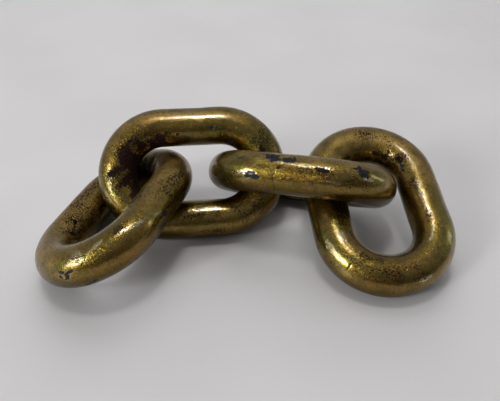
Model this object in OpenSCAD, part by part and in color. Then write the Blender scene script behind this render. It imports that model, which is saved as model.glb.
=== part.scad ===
// Four interlocked oval links of short-link brass chain, lying in a heap as they
// come to rest on a flat surface. Each link is one round bar, bent to an oval and
// closed by a butt weld. The links only touch: each bears on its neighbour's bar.
// Millimetres, +Z up. The surface is Z = 0 and the chain runs along X.

/* [Link] */
// Diameter of the round bar that every link is bent from
bar_d = 20; // [12:0.5:30]
// Sideways play of a neighbour's bar in the hole, so the hole is this much wider than a bar
side_play = 8.5; // [7:0.1:12]
// Lengthwise play of the two neighbours' bars in the hole, so the hole is two bars and this long
end_play = 17.5; // [13:0.1:30]
// Clearance left between two links where they bear on each other
link_gap = 0.4; // [0.1:0.05:1]

/* [Closing welds] */
// Width of the fine groove that shows where a link's two bar ends were welded
seam_w = 0.6; // [0.3:0.1:1.5]
// Depth of that groove
seam_depth = 0.4; // [0.2:0.1:1]

/* [Hidden] */
$fn = 96;

inside_w = bar_d + side_play;
inside_l = 2 * bar_d + end_play;
bow_r = (inside_w + bar_d) / 2;   // radius of the bar's centre line round either bow
straight_l = inside_l - inside_w; // length of each straight leg between the bows
search_steps = 40;                // halvings when a link is let down onto the surface

// The four resting places, in degrees. A bearing point is given by the bow it is on
// (RIGHT or LEFT), the angle round that bow from its crown, which runs on along the
// leg past 90, and the roll round the bar towards the link's own normal.
RIGHT = 0;
LEFT = 180;
mid_tilt = 49;    // left middle link, leaning over its front leg
mid_heading = 4;  // left middle link, turned about the vertical
// The tighter the hole, the nearer the crown the left end link has to bear
left_end_at = 39 * side_play / bar_d;

// Rigid moves as 4 by 4 matrices
function shift(v) = [[1, 0, 0, v.x], [0, 1, 0, v.y], [0, 0, 1, v.z], [0, 0, 0, 1]];
function turn_x(a) = [[1, 0, 0, 0], [0, cos(a), -sin(a), 0], [0, sin(a), cos(a), 0], [0, 0, 0, 1]];
function turn_y(a) = [[cos(a), 0, sin(a), 0], [0, 1, 0, 0], [-sin(a), 0, cos(a), 0], [0, 0, 0, 1]];
function turn_z(a) = [[cos(a), -sin(a), 0, 0], [sin(a), cos(a), 0, 0], [0, 0, 1, 0], [0, 0, 0, 1]];
// The move that undoes a rigid move: its turn transposed, and its shift turned back
function undo(m) =
    let (back = [for (i = [0:2]) [for (j = [0:2]) m[j][i]]], at = back * [for (i = [0:2]) m[i][3]])
    [for (i = [0:3]) i < 3 ? concat(back[i], -at[i]) : [0, 0, 0, 1]];

// A bearing point on a link that lies in XY with its length along X: X points out
// from the bow, Y along the bar and Z along the link's normal, then rolled about Y
function bearing(bow, at, roll = 0) =
    let (round_bow = max(-90, min(90, at)), along_leg = (at - round_bow) * PI / 180 * bow_r)
    turn_z(bow) * shift([straight_l / 2, 0, 0]) * turn_z(round_bow) * shift([bow_r, along_leg, 0])
        * turn_y(roll);

// Place of a link whose bearing point rests against a neighbour's, bars at an angle
function linked(neighbour, their_point, crossing, own_point) =
    neighbour * their_point * shift([-(bar_d + link_gap), 0, 0]) * turn_z(180) * turn_x(crossing)
        * undo(own_point);

// Half the size of a placed link along X, Y or Z (0, 1 or 2), exact for the round bar
function half_size(place, i) =
    straight_l / 2 * abs(place[i][0]) + bow_r * norm([place[i][0], place[i][1]]) + bar_d / 2;
function lowest(place) = place[2][3] - half_size(place, 2);

// Lets a link down: halves the span of swings between one that holds the link clear
// of the surface and one that would sink it, until the link just touches
function let_down(place_at, clear, sunk, steps = search_steps) =
    let (middle = (clear + sunk) / 2)
    steps == 0 ? place_at(middle)
    : lowest(place_at(middle)) > 0 ? let_down(place_at, middle, sunk, steps - 1)
    : let_down(place_at, clear, middle, steps - 1);

left_mid_turn = turn_z(mid_heading) * turn_x(mid_tilt);
left_mid = shift([0, 0, half_size(left_mid_turn, 2)]) * left_mid_turn;
left_end = let_down(function (swing)
    linked(left_mid, bearing(LEFT, left_end_at, swing), -118.5, bearing(RIGHT, 90.5, 12)), -165, -110);
right_mid = let_down(function (swing)
    linked(left_mid, bearing(RIGHT, -2.5, swing), 91.5, bearing(LEFT, -3.5, 8)), -50, 10);
right_end = let_down(function (swing)
    linked(right_mid, bearing(RIGHT, 97, swing), -108, bearing(LEFT, 50, -80)), 65, 5);

// The chain's box is centred over the origin
places = [left_end, left_mid, right_mid, right_end];
function middle_of(i) =
    (min([for (p = places) p[i][3] - half_size(p, i)]) + max([for (p = places) p[i][3] + half_size(p, i)])) / 2;
centring = shift([-middle_of(0), -middle_of(1), 0]);

// A bent bar lying in XY: a bow with half of both legs, made once for each end. Each
// half leg is exactly as long as its bow is moved out, so they meet at any size.
module bent_bar() {
    for (bow = [RIGHT, LEFT]) rotate(bow) {
        translate([straight_l / 2, 0, 0]) rotate(-90)
            rotate_extrude(angle = 180) translate([bow_r, 0]) circle(d = bar_d);
        for (y = [-bow_r, bow_r])
            translate([0, y, 0]) rotate([0, 90, 0]) cylinder(h = straight_l / 2, d = bar_d);
    }
}

// The fine ring that a weld seam leaves open round the bar at one point of the link
module seam_ring(point) {
    multmatrix(point) rotate([90, 0, 0]) difference() {
        cylinder(h = seam_w, d = bar_d + 2 * seam_depth, center = true);
        cylinder(h = 2 * seam_w, d = bar_d - 2 * seam_depth, center = true);
    }
}

// Left end link: lies almost flat, with its far leg under the left middle link's bow
module left_end_link() {
    color("#8f7a3a") multmatrix(centring * left_end) bent_bar();
}

// Left middle link: leans over its front leg, its left bow on the left end link
module left_mid_link() {
    color("#86703a") multmatrix(centring * left_mid) bent_bar();
}

// Right middle link: stands on its back leg, with its weld on the raised front leg
module right_mid_link() {
    color("#7c6e34") multmatrix(centring * right_mid) difference() {
        bent_bar();
        seam_ring(bearing(LEFT, 109));
    }
}

// Right end link: its far bow rides over the right middle link's back leg
module right_end_link() {
    color("#8a7634") multmatrix(centring * right_end) difference() {
        bent_bar();
        seam_ring(bearing(RIGHT, -48));
    }
}

left_end_link();
left_mid_link();
right_mid_link();
right_end_link();
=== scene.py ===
import math

import bpy
import numpy as np
from mathutils import Matrix, Vector


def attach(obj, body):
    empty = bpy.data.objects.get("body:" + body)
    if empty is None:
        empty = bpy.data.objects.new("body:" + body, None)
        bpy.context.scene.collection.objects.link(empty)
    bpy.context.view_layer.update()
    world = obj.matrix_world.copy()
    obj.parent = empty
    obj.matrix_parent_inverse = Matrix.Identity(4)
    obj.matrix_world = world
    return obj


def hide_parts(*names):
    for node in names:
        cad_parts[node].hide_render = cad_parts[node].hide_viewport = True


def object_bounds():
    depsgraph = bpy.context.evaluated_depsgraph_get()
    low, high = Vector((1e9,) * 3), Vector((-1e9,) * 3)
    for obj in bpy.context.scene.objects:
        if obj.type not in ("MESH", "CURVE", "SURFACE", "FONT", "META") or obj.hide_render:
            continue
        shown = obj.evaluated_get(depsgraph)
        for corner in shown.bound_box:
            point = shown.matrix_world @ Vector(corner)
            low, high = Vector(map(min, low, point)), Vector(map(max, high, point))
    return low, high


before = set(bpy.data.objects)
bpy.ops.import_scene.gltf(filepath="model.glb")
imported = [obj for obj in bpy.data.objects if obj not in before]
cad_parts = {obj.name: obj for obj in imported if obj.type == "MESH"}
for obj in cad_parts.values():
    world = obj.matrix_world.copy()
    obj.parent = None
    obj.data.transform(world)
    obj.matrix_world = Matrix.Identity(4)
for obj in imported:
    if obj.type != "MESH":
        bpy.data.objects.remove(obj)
cad_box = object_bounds()

# ---------------------------------------------------------------- left end link
# The link at the left end, its free bow towards the front left. One round brass bar,
# bent hot to an oval and welded shut. Nothing fixes it: its far leg lies under the left
# middle link's bow, and its surface is worn, pitted and chipped by handling. Patina on
# its right bow, where it passes behind the left middle link, is painted shade there.

MM = 1000.0  # millimetres in a metre


def link_axes(node):
    """The link's middle and its long, width and normal directions, from its CAD solid:
    each triangle and the origin make a slim pyramid, their volumes and second moments
    are summed, and the three main directions of that sum are the link's own axes."""
    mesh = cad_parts[node].data
    mesh.calc_loop_triangles()
    points = np.empty(len(mesh.vertices) * 3)
    mesh.vertices.foreach_get("co", points)
    corners = np.empty(len(mesh.loop_triangles) * 3, int)
    mesh.loop_triangles.foreach_get("vertices", corners)
    a, b, c = points.reshape(-1, 3)[corners.reshape(-1, 3)].transpose(1, 0, 2)
    volume = np.einsum("ij,ij->i", a, np.cross(b, c)) / 6
    middle = volume @ (a + b + c) / 4 / volume.sum()
    spread = sum(np.einsum("n,ni,nj->ij", volume, p, p) for p in (a + b + c, a, b, c)) / 20
    spread -= volume.sum() * np.outer(middle, middle)
    normal, _, long = np.linalg.eigh(spread)[1].T
    long = long * np.sign(long[0])
    normal = normal * np.sign(normal[2])
    return middle, np.array([long, np.cross(normal, long), normal]), points.reshape(-1, 3)


def centre_line(along, straight, bow):
    """Middle of the bar at a distance along it from the right bow's crown, and the
    direction out of the link there. The heading turns only on the two bows, and the
    bow centre shifts only along the two legs, so each is a sum of clipped lengths."""
    quarter = math.pi / 2 * bow
    turned = (np.clip(along, 0, quarter) + np.clip(along - quarter - straight, 0, 2 * quarter)
              + np.clip(along - 3 * quarter - 2 * straight, 0, quarter)) / bow
    shifted = (straight / 2 - np.clip(along - quarter, 0, straight)
               + np.clip(along - 3 * quarter - straight, 0, straight))
    out = np.stack([np.cos(turned), np.sin(turned), 0 * turned], -1)
    return out * bow + np.stack([shifted, 0 * shifted, 0 * shifted], -1), out


def waves(along, round_bar, length, girth, size, seed, count=48):
    """Unevenness that closes on itself both ways: a sum of cosines with random
    directions and phases, each a whole number of waves along and round the bar, with
    wavelengths near the size given in millimetres. About -1 to 1."""
    draw = np.random.default_rng(seed)
    heading = draw.uniform(0, 2 * math.pi, count)
    pitch = size * draw.uniform(0.7, 1.5, count)
    many = np.rint(np.cos(heading) * length / pitch)
    turns = np.rint(np.sin(heading) * girth / pitch)
    phase = draw.uniform(0, 2 * math.pi, count)
    total = np.zeros_like(along)
    for m, n, p in zip(many, turns, phase):
        total += np.cos(2 * math.pi * (m * along / length + n * round_bar / girth) + p)
    return total / math.sqrt(count)


def soft_step(value, low, high):
    """0 below low, 1 above high, and a smooth S between."""
    x = np.clip((value - low) / (high - low), 0, 1)
    return x * x * (3 - 2 * x)


def off_middle(place, along, round_bar, length, girth):
    """How far each point is from the middle of an oval place, where 1 is its edge: the
    shorter way along and round the bar, turned by the slant, over the half length and
    half width. A place is its millimetres along the bar, degrees round it, half length,
    half width and slant in degrees."""
    at, angle, half_length, half_width, slant = place
    da = (along - at + length / 2) % length - length / 2
    dr = (round_bar - angle / 360 * girth + girth / 2) % girth - girth / 2
    c, s = math.cos(math.radians(slant)), math.sin(math.radians(slant))
    return np.hypot((c * da + s * dr) / half_length, (c * dr - s * da) / half_width)


def spots(places, grid, ragged):
    """How deep in a mark each point is: 1 at the middle of a place, 0 on its edge and
    below 0 outside, with the edge made ragged."""
    untouched, ragged_share = -9.0, 0.32
    depth = np.full_like(grid[0], untouched)
    for place in places:
        depth = np.maximum(depth, 1 - off_middle(place, *grid) + ragged_share * ragged)
    return depth


def weld_seam(weld, grid, ragged, seed):
    """The closing weld, as the crack's mask and how deep it sinks the surface. The crack
    wanders along the bar as it goes round it, is a bell curve across its line, and fades
    over a few degrees where it starts and stops. It lies in a wider, shallow dip, a bell
    curve too, with uneven lips."""
    at, first, last = weld
    fade, crack_width, crack_depth, dip_width, dip_depth = 12, 0.24, 0.12, 1.6, 0.012
    along, round_bar, length, girth = grid
    ring = (0 * along, round_bar, length, girth)
    wander = 0.6 * waves(*ring, 15.0, seed) + 0.35 * waves(*ring, 4.0, seed + 1)
    turn = (round_bar / girth * 360 - first) % 360
    seen = soft_step(turn, 0, fade) * soft_step((last - first) % 360 - turn, 0, fade)
    off = np.abs(along - at - wander)
    crack = np.exp(-(off / crack_width) ** 2) * seen
    dip = dip_depth * np.exp(-(off / dip_width) ** 2) * (1 + ragged)
    return crack, crack_depth * crack + dip


def bar_mesh(name, shape, along, length, fields):
    """A closed mesh on a grid of points along and round the bar: each quad joins a point
    to its next ones, and the last ones to the first. Each field is kept as an attribute,
    and the map unrolls the bar, its length across and its girth up."""
    steps_along, steps_round = shape.shape[:2]
    i, j = np.meshgrid(np.arange(steps_along), np.arange(steps_round), indexing="ij")
    next_i, next_j = (i + 1) % steps_along, (j + 1) % steps_round
    quads = np.stack([i * steps_round + j, next_i * steps_round + j,
                      next_i * steps_round + next_j, i * steps_round + next_j], -1).reshape(-1, 4)
    mesh = bpy.data.meshes.new(name)
    mesh.vertices.add(steps_along * steps_round)
    mesh.vertices.foreach_set("co", shape.ravel())
    mesh.loops.add(quads.size)
    mesh.loops.foreach_set("vertex_index", quads.ravel())
    mesh.polygons.add(len(quads))
    mesh.polygons.foreach_set("loop_start", np.arange(len(quads)) * 4)
    mesh.polygons.foreach_set("use_smooth", np.ones(len(quads), bool))
    for field, values in fields.items():
        mesh.attributes.new(field, "FLOAT", "POINT").data.foreach_set("value", values.ravel())
    edges = np.append(along, length) / length
    ends = np.stack([edges[i], edges[i + 1], edges[i + 1], edges[i]], -1)
    sides = np.stack([j, j, j + 1, j + 1], -1) / steps_round
    unroll = mesh.uv_layers.new(name="unrolled_bar")
    unroll.uv.foreach_set("vector", np.stack([ends, sides], -1).ravel())
    mesh.update(calc_edges=True)
    return mesh


def bar_link(node, seed, chips, patina_and_shade, specks, green, amber, matte, highlight_streaks, flats, weld=None):
    """A link's surface: the bar's radius round its centre line, less shallow unevenness,
    worn flats, chips, patina and the weld, on a grid that is finer by the weld. Each mark
    is a place as off_middle takes it: millimetres along the bar from the right bow's
    crown, and degrees round it from the link's outer side towards its normal. A flat ends
    in its depth instead of a slant. A weld is its millimetres along the bar, and the
    degrees round it where it starts and stops."""
    middle, axes, points = link_axes(node)
    own = (points - middle) @ axes.T * MM
    size = own.max(0) - own.min(0)
    bar, bow, straight = size[2] / 2, (size[1] - size[2]) / 2, size[0] - size[1]
    length, girth = 2 * math.pi * bow + 2 * straight, 2 * math.pi * bar

    steps_along, steps_round, steps_fine = 560, 176, 4000
    weld_crowding, weld_reach = 3.5, 2.2
    fine = np.linspace(0, length, steps_fine + 1)
    crowd = np.ones_like(fine)
    if weld:
        crowd += weld_crowding * np.exp(-((fine - weld[0]) / weld_reach) ** 2)
    crowd = np.concatenate([[0], np.cumsum((crowd[1:] + crowd[:-1]) / 2)])
    along = np.interp(np.arange(steps_along) / steps_along, crowd / crowd[-1], fine)
    s, r = np.meshgrid(along, np.arange(steps_round) / steps_round * girth, indexing="ij")
    grid = (s, r, length, girth)

    ragged = waves(*grid, 3.0, seed) + 0.5 * waves(*grid, 1.5, seed + 1)
    soft = waves(*grid, 9.0, seed + 2)
    fields = {"chips": soft_step(spots(chips, grid, ragged), -0.06, 0.06)}
    # One of these fields holds painted highlights: thin pale places laid where the lamps reflect.
    for name, places, spread in (("patina_and_shade", patina_and_shade, 0.15), ("specks", specks, 0.25),
                                 ("green", green, 0.2), ("amber", amber, 0.2),
                                 ("matte", matte, 0.2), ("highlight_streaks", highlight_streaks, 0.3)):
        fields[name] = np.clip(spots(places, grid, soft) + spread, 0, 1)

    # How far the surface lies inside the plain bar, in millimetres: three sizes of
    # unevenness, then the flats as bell curves, then the marks.
    mean_depth, chip_depth, patina_depth = 0.08, 0.16, 0.05
    sunk = np.full_like(s, mean_depth)
    for deep, lump, draw, count in ((0.04, 34.0, 3, 24), (0.014, 12.0, 4, 48), (0.007, 3.4, 5, 48)):
        sunk += deep * waves(*grid, lump, seed + draw, count)
    for *place, deep in flats:
        sunk += deep * np.exp(-off_middle((*place, 0), *grid) ** 2)
    sunk += fields["chips"] * (chip_depth + 0.05 * ragged)
    sunk += patina_depth * fields["patina_and_shade"] * (1 + 0.5 * ragged)
    fields["weld"] = 0 * s
    if weld:
        fields["weld"], seam = weld_seam(weld, grid, ragged, seed + 6)
        sunk += seam
    sunk = np.maximum(sunk, 0.0)

    line, out = centre_line(s, straight, bow)
    turn = (r / bar)[..., None]
    facing = np.cos(turn) * out + np.sin(turn) * np.array([0, 0, 1.0])
    # Painted shade: what faces down is darkened brown, less so on the sides, standing in for the shade
    # under the bars.
    upward = (facing @ axes)[..., 2]
    fields["underside_shade"] = 1 - soft_step(upward + 0.05 * soft, -0.30, 0.38)
    shape = middle + (line + (bar - sunk)[..., None] * facing) / MM @ axes
    mesh = bar_mesh(node + "_bar", shape, along, length, fields)
    piece = bpy.data.objects.new(node + "_bar", mesh)
    bpy.context.scene.collection.objects.link(piece)
    return piece


class Tone:
    """One value in a material: a socket of its node tree. Sums, differences and products
    with numbers or other values, the larger of two (|) and abs() add the Math nodes they
    need."""

    def __init__(self, tree, socket=None):
        self.tree, self.socket = tree, socket

    def node(self, kind, settings=None, values=None, out=0):
        """Adds a node of a kind, with its settings, then the values or links of its
        sockets by name or number, and returns one of its outputs."""
        made = self.tree.nodes.new(kind)
        for name, value in (settings or {}).items():
            setattr(made, name, value)
        for name, value in (values or {}).items():
            if isinstance(value, Tone):
                self.tree.links.new(value.socket, made.inputs[name])
            else:
                made.inputs[name].default_value = value
        return Tone(self.tree, made.outputs[out] if made.outputs else None)

    def maths(self, operation, *terms):
        """Adds a Math node that works on values or numbers."""
        return self.node("ShaderNodeMath", {"operation": operation}, dict(enumerate(terms)))

    def __add__(self, other):
        return self.maths("ADD", self, other)

    def __sub__(self, other):
        return self.maths("SUBTRACT", self, other)

    def __rsub__(self, other):
        return self.maths("SUBTRACT", other, self)

    def __mul__(self, other):
        return self.maths("MULTIPLY", self, other)

    def __or__(self, other):
        return self.maths("MAXIMUM", self, other)

    def __abs__(self):
        return self.maths("ABSOLUTE", self)

    __radd__, __rmul__, __ror__ = __add__, __mul__, __or__

    def step(self, low, high):
        """0 below low, 1 above high, and a smooth S between."""
        return self.node("ShaderNodeMapRange", {"interpolation_type": "SMOOTHSTEP"},
                         {0: self, 1: low, 2: high})

    def noise(self, size, detail=2.0, distortion=0.0):
        """Cloudy noise from 0 to 1 over a place, with lumps of a size in its units."""
        return self.node("ShaderNodeTexNoise", {}, {
            "Vector": self, "Scale": 1 / size, "Detail": detail, "Distortion": distortion})

    def between(self, first, second):
        """One colour turning into another as this mask goes from 0 to 1."""
        return self.node("ShaderNodeMix", {"data_type": "RGBA"}, {0: self, 6: first, 7: second}, 2)

    def tint(self, other, mask):
        """This colour turning into another as a mask goes from 0 to 1."""
        return mask.between(self, other)


def blank_tree(owner):
    """Empties the node tree of a material or a world, and returns a value to start from."""
    owner.use_nodes = True
    owner.node_tree.nodes.clear()
    return Tone(owner.node_tree)


def worn_brass(name, number, tarnish):
    """Old brass: broad clouds of olive and gold under green, amber and brown tarnish, a
    fine crinkled grain that breaks up the shine, pale smoother streaks painted as highlights
    where the lamps reflect, painted shade on what faces down, black pits, purple-brown
    patina that also paints the shade where links touch, blue-black chips and the
    weld's crack. The link's number shifts the pattern, so that no two links share it."""
    material = bpy.data.materials.new(name)
    start = blank_tree(material)
    seat = start.node("ShaderNodeTexCoord", out="Object")
    seat = start.node("ShaderNodeVectorMath", {"operation": "SCALE"}, {0: seat, "Scale": MM})
    shift = (37.0 * number, 11.0, -23.0 * number)
    seat = start.node("ShaderNodeMapping", {}, {"Vector": seat, "Location": shift})

    def painted(field):
        return start.node("ShaderNodeAttribute", {"attribute_name": field}, out="Fac")

    # Noises, each with lumps of a size in millimetres, and the thin creases in worm.
    broad = seat.noise(16, 3)
    cloud = seat.noise(5, 4, 0.6)
    mottle = seat.noise(1.6, 3, 0.5)
    grain = seat.noise(0.75, 2)
    dots = seat.noise(0.62, 2, 0.3)
    worm = seat.noise(1.3, 2, 1.5)
    ridge = (1 - abs(worm - 0.5) * 16).step(0.0, 1.0)
    ragged = seat.noise(1.0, 3, 0.4)

    olive, gold = (0.285, 0.181, 0.022, 1), (0.220, 0.146, 0.014, 1)
    green, amber = (0.200, 0.175, 0.020, 1), (0.26, 0.140, 0.014, 1)
    brown, brown_mottle = (0.12, 0.075, 0.012, 1), (0.12, 0.075, 0.010, 1)
    ochre, pale_grain = (0.44, 0.285, 0.085, 1), (0.50, 0.385, 0.11, 1)
    # The first of these is a painted highlight tone, the second a painted shade tone.
    highlight_cream, underside_shade_brown = (0.62, 0.50, 0.25, 1), (0.075, 0.042, 0.005, 1)
    plum, pit_black = (0.034, 0.015, 0.022, 1), (0.022, 0.014, 0.010, 1)
    chip_black, chip_blue = (0.012, 0.013, 0.018, 1), (0.036, 0.037, 0.046, 1)
    crack_brown = (0.040, 0.030, 0.018, 1)

    # The brass under its marks, from the broadest tone to the finest.
    brass = broad.step(0.35, 0.65).between(olive, gold)
    brass = brass.tint(green, (painted("green") * (0.5 + cloud)).step(0.15, 1.1))
    brass = brass.tint(amber, (painted("amber") * (0.5 + cloud)).step(0.2, 1.2))
    brass = brass.tint(brown, cloud.step(0.46, 0.74) * tarnish)
    brass = brass.tint(ochre, painted("matte") * 0.75)
    brass = brass.tint(brown_mottle, mottle.step(0.47, 0.68) * 0.62)
    brass = brass.tint(pale_grain, grain.step(0.56, 0.72) * 0.30)
    # Painted highlight: pale cream streaks laid where the lamps reflect on each link.
    highlight_mask = (painted("highlight_streaks") + (mottle - 0.5) * 1.2).step(0.25, 0.75)
    brass = brass.tint(highlight_cream, highlight_mask * 0.7)
    # Painted shade: a dark brown laid over what faces down.
    brass = brass.tint(underside_shade_brown, painted("underside_shade") * 0.75)

    # The marks' masks, their edges broken up by noise.
    pits = (dots + painted("specks") * 0.17 + (broad - 0.5) * 0.10).step(0.635, 0.67)
    # Patina: partly the real purple-brown patina, partly painted shade where links touch.
    patina_and_shade = (painted("patina_and_shade") * 0.80 + (ragged - 0.5) * 1.2 + (cloud - 0.5) * 0.5).step(0.28, 0.44)
    chips = (painted("chips") + (ragged - 0.5) * 1.3).step(0.45, 0.60)
    crack = (painted("weld") + (ragged - 0.5) * 1.6).step(0.55, 0.90)

    colour = brass.tint(plum, patina_and_shade * 0.93)
    colour = colour.tint(pit_black, pits * 0.93)
    colour = colour.tint(grain.step(0.4, 0.65).between(chip_black, chip_blue), chips)
    colour = colour.tint(crack_brown, crack * 0.85)

    # Marks are rough and the painted highlight streaks smooth. The height is in millimetres, and a thin
    # clear skin gives the pale highlights, except on marks and underneath.
    dull = patina_and_shade | pits | chips | crack
    rough = (0.16 + cloud * 0.08 + mottle * 0.07 + painted("matte") * 0.25
             - painted("highlight_streaks") * 0.05 + dull * 0.30 + patina_and_shade * 0.20)
    height = (grain * 0.042 + mottle * 0.044 - ridge * 0.016 - pits * 0.05
              - patina_and_shade * 0.03 - chips * 0.05 - crack * 0.05)
    clear_skin = (0.34 + painted("highlight_streaks") * 0.55 - dull * 0.60) * (1 - painted("underside_shade") * 0.8)
    bumps = start.node("ShaderNodeBump", {}, {"Strength": 1.0, "Distance": 1 / MM, "Height": height})
    shader = start.node("ShaderNodeBsdfPrincipled", {}, {
        "Base Color": colour, "Metallic": 1 - chips * 0.30, "Roughness": rough, "Normal": bumps,
        "Coat Weight": clear_skin, "Coat Roughness": 0.13, "Coat IOR": 1.9})
    start.node("ShaderNodeOutputMaterial", {}, {0: shader})
    return material


left_end = bar_link(
    "left_end_link", 11,
    chips=[(109, 12, 1.8, 1.0, 70), (111, 22, 1.1, 0.9, 0), (107.5, 24, 1.0, 0.8, 0),
           (106.5, 14, 0.8, 0.7, 0), (114, -35, 2.6, 1.0, 20), (152, -2, 2.8, 1.1, -20)],
    # Patina places; the third is painted shade where this bow passes behind the left middle link.
    patina_and_shade=[(67, 154, 4, 1.6, 30), (74, 162, 3, 1.4, 0), (196, 140, 12, 8, 0), (20, 130, 10, 8, 0)],
    specks=[(60, 140, 18, 9, 0), (70, 156, 12, 5, 0), (45, 110, 22, 6, 0), (166, 38, 10, 6, 0),
            (176, 25, 4, 2, 0), (152, 95, 8, 4, 0), (114, 42, 5, 3, 0), (132, 60, 4, 3, 0)],
    green=[(148, 15, 12, 6, 0), (112, 45, 14, 4, 0), (165, 20, 16, 5, 0), (20, -90, 20, 9, 0)],
    amber=[(130, -5, 18, 8, 0), (190, 90, 20, 12, 0), (60, -150, 25, 8, 0)],
    matte=[(172, 75, 24, 12, 0), (172, 46, 12, 6, 0), (58, 110, 34, 12, 0), (95, 75, 14, 6, 0)],
    # Painted highlights: thin pale places where the lamps reflect.
    highlight_streaks=[(113, 48, 5, 2.2, 30), (122, 56, 5, 1.4, 20), (137, 40, 6, 1.2, -20),
            (149, 9, 3.5, 1.6, -20)],
    flats=[(75, 95, 14, 10, 0.25), (180, 60, 12, 8, 0.2)])
left_end.data.materials.append(worn_brass("left_end_brass", 1, 0.35))
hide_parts("left_end_link")
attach(left_end, "left_end")

# ------------------------------------------------------------- left middle link
# The link that leans over its front leg, with its left bow on the left end link. The
# same bent and welded brass bar. The inside of its left bow, where nothing rubs, keeps a
# thick purple-brown patina, and the patina there is laid on past it as painted shade in
# the crevice where the left end link's bow lies.

left_mid = bar_link(
    "left_mid_link", 23,
    chips=[(41, 105, 1.1, 0.7, 30), (29, 148, 2.4, 0.9, 20), (59, 122, 0.8, 0.7, 0)],
    # Patina places; those deep inside the left bow also paint the shade where the left end link's bow
    # lies.
    patina_and_shade=[(95, 126, 19, 8, 4), (108, 158, 20, 13, 0), (74, 154, 14, 5, 0), (10, 96, 3, 2, 0),
            (28, 150, 5, 3, 0), (70, 136, 8, 5, 0), (108, 134, 8, 6, 0)],
    specks=[(12, 80, 11, 9, 0), (94, 98, 16, 7, 0), (188, 100, 12, 8, 0), (35, 130, 5, 3, 0),
            (76, 110, 7, 4, 0), (168, 45, 5, 2, 0), (160, 105, 10, 4, 0), (108, 95, 8, 8, 0)],
    green=[(14, 75, 14, 12, 0), (110, 55, 14, 8, 0), (40, 120, 18, 7, 0), (100, -60, 20, 9, 0)],
    amber=[(75, 60, 22, 6, 0), (168, 40, 30, 7, 0), (60, -120, 20, 9, 0)],
    matte=[(60, 55, 40, 4, 0)],
    # Painted highlights: thin pale places where the lamps reflect.
    highlight_streaks=[(44, 73, 15, 1.0, -3), (113, 50, 6, 1.6, 10), (165, 117, 8, 1.4, 5)],
    flats=[(49, 22, 5, 7, 0.22), (172, 20, 12, 9, 0.2)])
left_mid.data.materials.append(worn_brass("left_mid_brass", 2, 0.75))
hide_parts("left_mid_link")
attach(left_mid, "left_mid")

# ------------------------------------------------------------ right middle link
# The link that stands nearly on edge on its back leg. The same brass bar. Its weld
# crosses the raised front leg as a fine wandering crack, and the front leg carries the
# largest chips.

right_mid = bar_link(
    "right_mid_link", 37,
    chips=[(149, 46, 3.9, 2.6, -12), (157, 40, 3.4, 2.1, 10), (141.5, -17, 3.0, 1.6, -20),
           (187, 26, 2.4, 2.6, 20), (136, 32, 1.8, 0.3, 40), (185, 36, 1.8, 0.9, 20)],
    patina_and_shade=[(153, 13, 3, 1.8, 30), (172, 17, 3, 1.2, -15), (60, 60, 10, 5, 0)],
    specks=[(170, 10, 10, 3, 0), (184, -5, 7, 3, 0), (130, -20, 8, 5, 0), (60, 60, 30, 12, 0)],
    green=[(133, 5, 16, 9, 0), (193, 20, 8, 6, 0), (20, 100, 20, 12, 0)],
    amber=[(168, -10, 22, 6, 0), (165, 20, 14, 4, 0), (70, -30, 30, 12, 0)],
    matte=[(165, 60, 40, 5, 0), (60, 60, 40, 10, 0)],
    # Painted highlights: thin pale places where the lamps reflect.
    highlight_streaks=[(161, 27, 13, 1.3, -3), (140, -9, 4, 1.4, 0), (189, 8, 3, 1.2, 0),
            (178, -12, 4, 1.0, 0)],
    flats=[(153, 80, 10, 7, 0.15), (180, -60, 12, 8, 0.25)],
    weld=(151.3, 290, 8))
right_mid.data.materials.append(worn_brass("right_mid_brass", 3, 0.85))
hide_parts("right_mid_link")
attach(right_mid, "right_mid")

# --------------------------------------------------------------- right end link
# The last link, lying flat with its far bow over the right middle link's back leg. The
# same brass bar. A fine dark weld line crosses its near bow, and the inside of its far
# bow is chipped.

right_end = bar_link(
    "right_end_link", 53,
    chips=[(72, 136, 2.2, 1.2, 0), (68, 140, 1.3, 0.9, 0), (86, 132, 1.2, 0.9, 0),
           (80, 146, 1.0, 0.8, 0)],
    patina_and_shade=[(74, 136, 6, 2.5, 0), (92, 150, 6, 2, 0)],
    specks=[(80, 135, 14, 5, 0), (38, 114, 5, 2, 0), (102, 92, 9, 4, 0), (195, 94, 7, 3, 0),
            (60, 122, 8, 3, 0), (8, 52, 5, 2, 0), (205, 74, 14, 4, 0)],
    green=[(30, 62, 24, 7, 0), (178, 46, 14, 8, 0), (170, 90, 8, 5, 0)],
    amber=[(50, 135, 26, 6, 0), (0, 85, 20, 9, 0), (202, 40, 14, 7, 0)],
    matte=[(95, 95, 40, 9, 0)],
    # Painted highlights: thin pale places where the lamps reflect.
    highlight_streaks=[(52, 111, 17, 1.1, 0), (30, 108, 8, 1.0, 0), (181, 92, 6, 1.6, 0),
            (182, 46, 6, 1.4, 0), (8, 41, 4, 0.9, 0)],
    flats=[(46, 42, 9, 8, 0.34), (128, 60, 10, 9, 0.25)],
    weld=(190.0, 28, 76))
right_end.data.materials.append(worn_brass("right_end_brass", 4, 0.75))
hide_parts("right_end_link")
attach(right_end, "right_end")

# ------------------------------------------------------------------ table top
# A pale, faintly glossy laminate table top under the chain, with slight smudges in its
# colour and sheen. It isn't part of the object.

reach = 20.0
smudge_size = 0.09
pale_grey, paler_grey = (0.635, 0.622, 0.625, 1), (0.665, 0.652, 0.654, 1)

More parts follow.
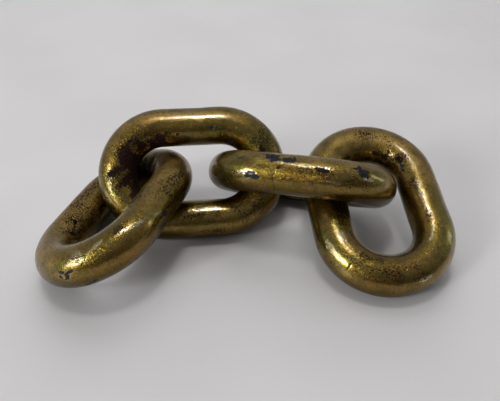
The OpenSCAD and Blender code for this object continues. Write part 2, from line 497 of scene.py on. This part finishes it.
mesh = bpy.data.meshes.new("table_top")
mesh.from_pydata([(-reach, -reach, 0), (reach, -reach, 0), (reach, reach, 0), (-reach, reach, 0)],
                 [], [(0, 1, 2, 3)])
table = bpy.data.objects.new("table_top", mesh)
bpy.context.scene.collection.objects.link(table)
laminate = bpy.data.materials.new("pale_laminate")
start = blank_tree(laminate)
smudge = start.node("ShaderNodeTexCoord", out="Object").noise(smudge_size, 1)
surface = start.node("ShaderNodeBsdfPrincipled", {}, {
    "Base Color": smudge.step(0.3, 0.7).between(pale_grey, paler_grey),
    "Roughness": 0.24 + smudge * 0.12, "Specular IOR Level": 0.5})
start.node("ShaderNodeOutputMaterial", {}, {0: surface})
mesh.materials.append(laminate)

# ---------------------------------------------------------------------- light
# A plain room: a soft panel with a small bright lamp nearly overhead, a wide window with
# a strip of bright sky to the front left, and a slim light to the right. Two washes add
# light but no reflections. The room is palest above the back, darkest to the front right.

scene = bpy.context.scene
chain_middle = Vector((0, 0, cad_box[1][2] / 2))


def panel(name, bearing, height, distance, width, tall, radiance, colour=(1, 1, 1), mirrored=True):
    """A soft rectangular light that faces the chain, at a compass bearing (0 behind the
    chain, 90 to its right) and a height in degrees. Its power is its radiance times its
    area times pi. One that isn't mirrored gives light but shows in no reflection."""
    light = bpy.data.lights.new(name, "AREA")
    light.shape, light.size, light.size_y = "RECTANGLE", width, tall
    light.energy = radiance * width * tall * math.pi
    light.color = colour
    lamp = bpy.data.objects.new(name, light)
    b, h = math.radians(bearing), math.radians(height)
    away = Vector((math.sin(b) * math.cos(h), math.cos(b) * math.cos(h), math.sin(h)))
    lamp.location = chain_middle + away * distance
    lamp.rotation_euler = away.to_track_quat("Z", "Y").to_euler()
    lamp.visible_glossy = mirrored
    scene.collection.objects.link(lamp)


warm, cool = (1.0, 0.98, 0.97), (0.98, 0.99, 1.0)
panel("overhead_panel", -35, 86, 1.6, width=0.50, tall=0.42, radiance=4.6, colour=warm)
panel("overhead_lamp", -35, 87, 1.59, width=0.22, tall=0.14, radiance=23.0, colour=warm)
panel("window_light", -126, 24, 1.8, width=0.70, tall=0.85, radiance=4.0, colour=cool)
panel("window_sky", -128, 27, 1.79, width=0.22, tall=0.5, radiance=22.0, colour=cool)
panel("side_light", 79, 16, 1.8, width=0.25, tall=0.7, radiance=2.5)
panel("ceiling_fill", 0, 60, 1.5, width=0.7, tall=0.7, radiance=2.0, mirrored=False)
panel("back_wash", 0, 32, 1.3, width=1.6, tall=0.4, radiance=2.6, mirrored=False)

bright_side = (-0.25, 0.62, 0.74)
room_dark, room_pale = (0.050, 0.048, 0.047, 1), (0.34, 0.34, 0.345, 1)
world = bpy.data.worlds.new("pale_room")
scene.world = world
start = blank_tree(world)
look = start.node("ShaderNodeTexCoord", out="Generated")
toward = start.node("ShaderNodeVectorMath", {"operation": "DOT_PRODUCT"},
                    {0: look, 1: bright_side}, "Value")
room = toward.step(-0.75, 0.75).between(room_dark, room_pale)
glow = start.node("ShaderNodeBackground", {}, {"Color": room, "Strength": 1.0})
start.node("ShaderNodeOutputWorld", {}, {0: glow})

# --------------------------------------------------------------------- camera
# A hand-held camera in front of the chain, about a third of a metre away and 38 degrees
# above the table.

distance = 0.3189
aim = Vector((0.0027, 0.0329, 0.0))
rise, bearing, roll = math.radians(38.4), math.radians(-0.43), math.radians(0.34)

camera = bpy.data.cameras.new("camera")
camera.sensor_width = 36.0
camera.lens = 40.1
camera.clip_start = 0.01
viewer = bpy.data.objects.new("camera", camera)
back = Vector((math.sin(bearing) * math.cos(rise), -math.cos(bearing) * math.cos(rise), math.sin(rise)))
upright = back.to_track_quat("Z", "Y").to_matrix()
viewer.location = aim + back * distance
viewer.rotation_euler = (upright @ Matrix.Rotation(-roll, 3, "Z")).to_euler()
scene.collection.objects.link(viewer)
scene.camera = viewer
scene.view_settings.view_transform = "Standard"
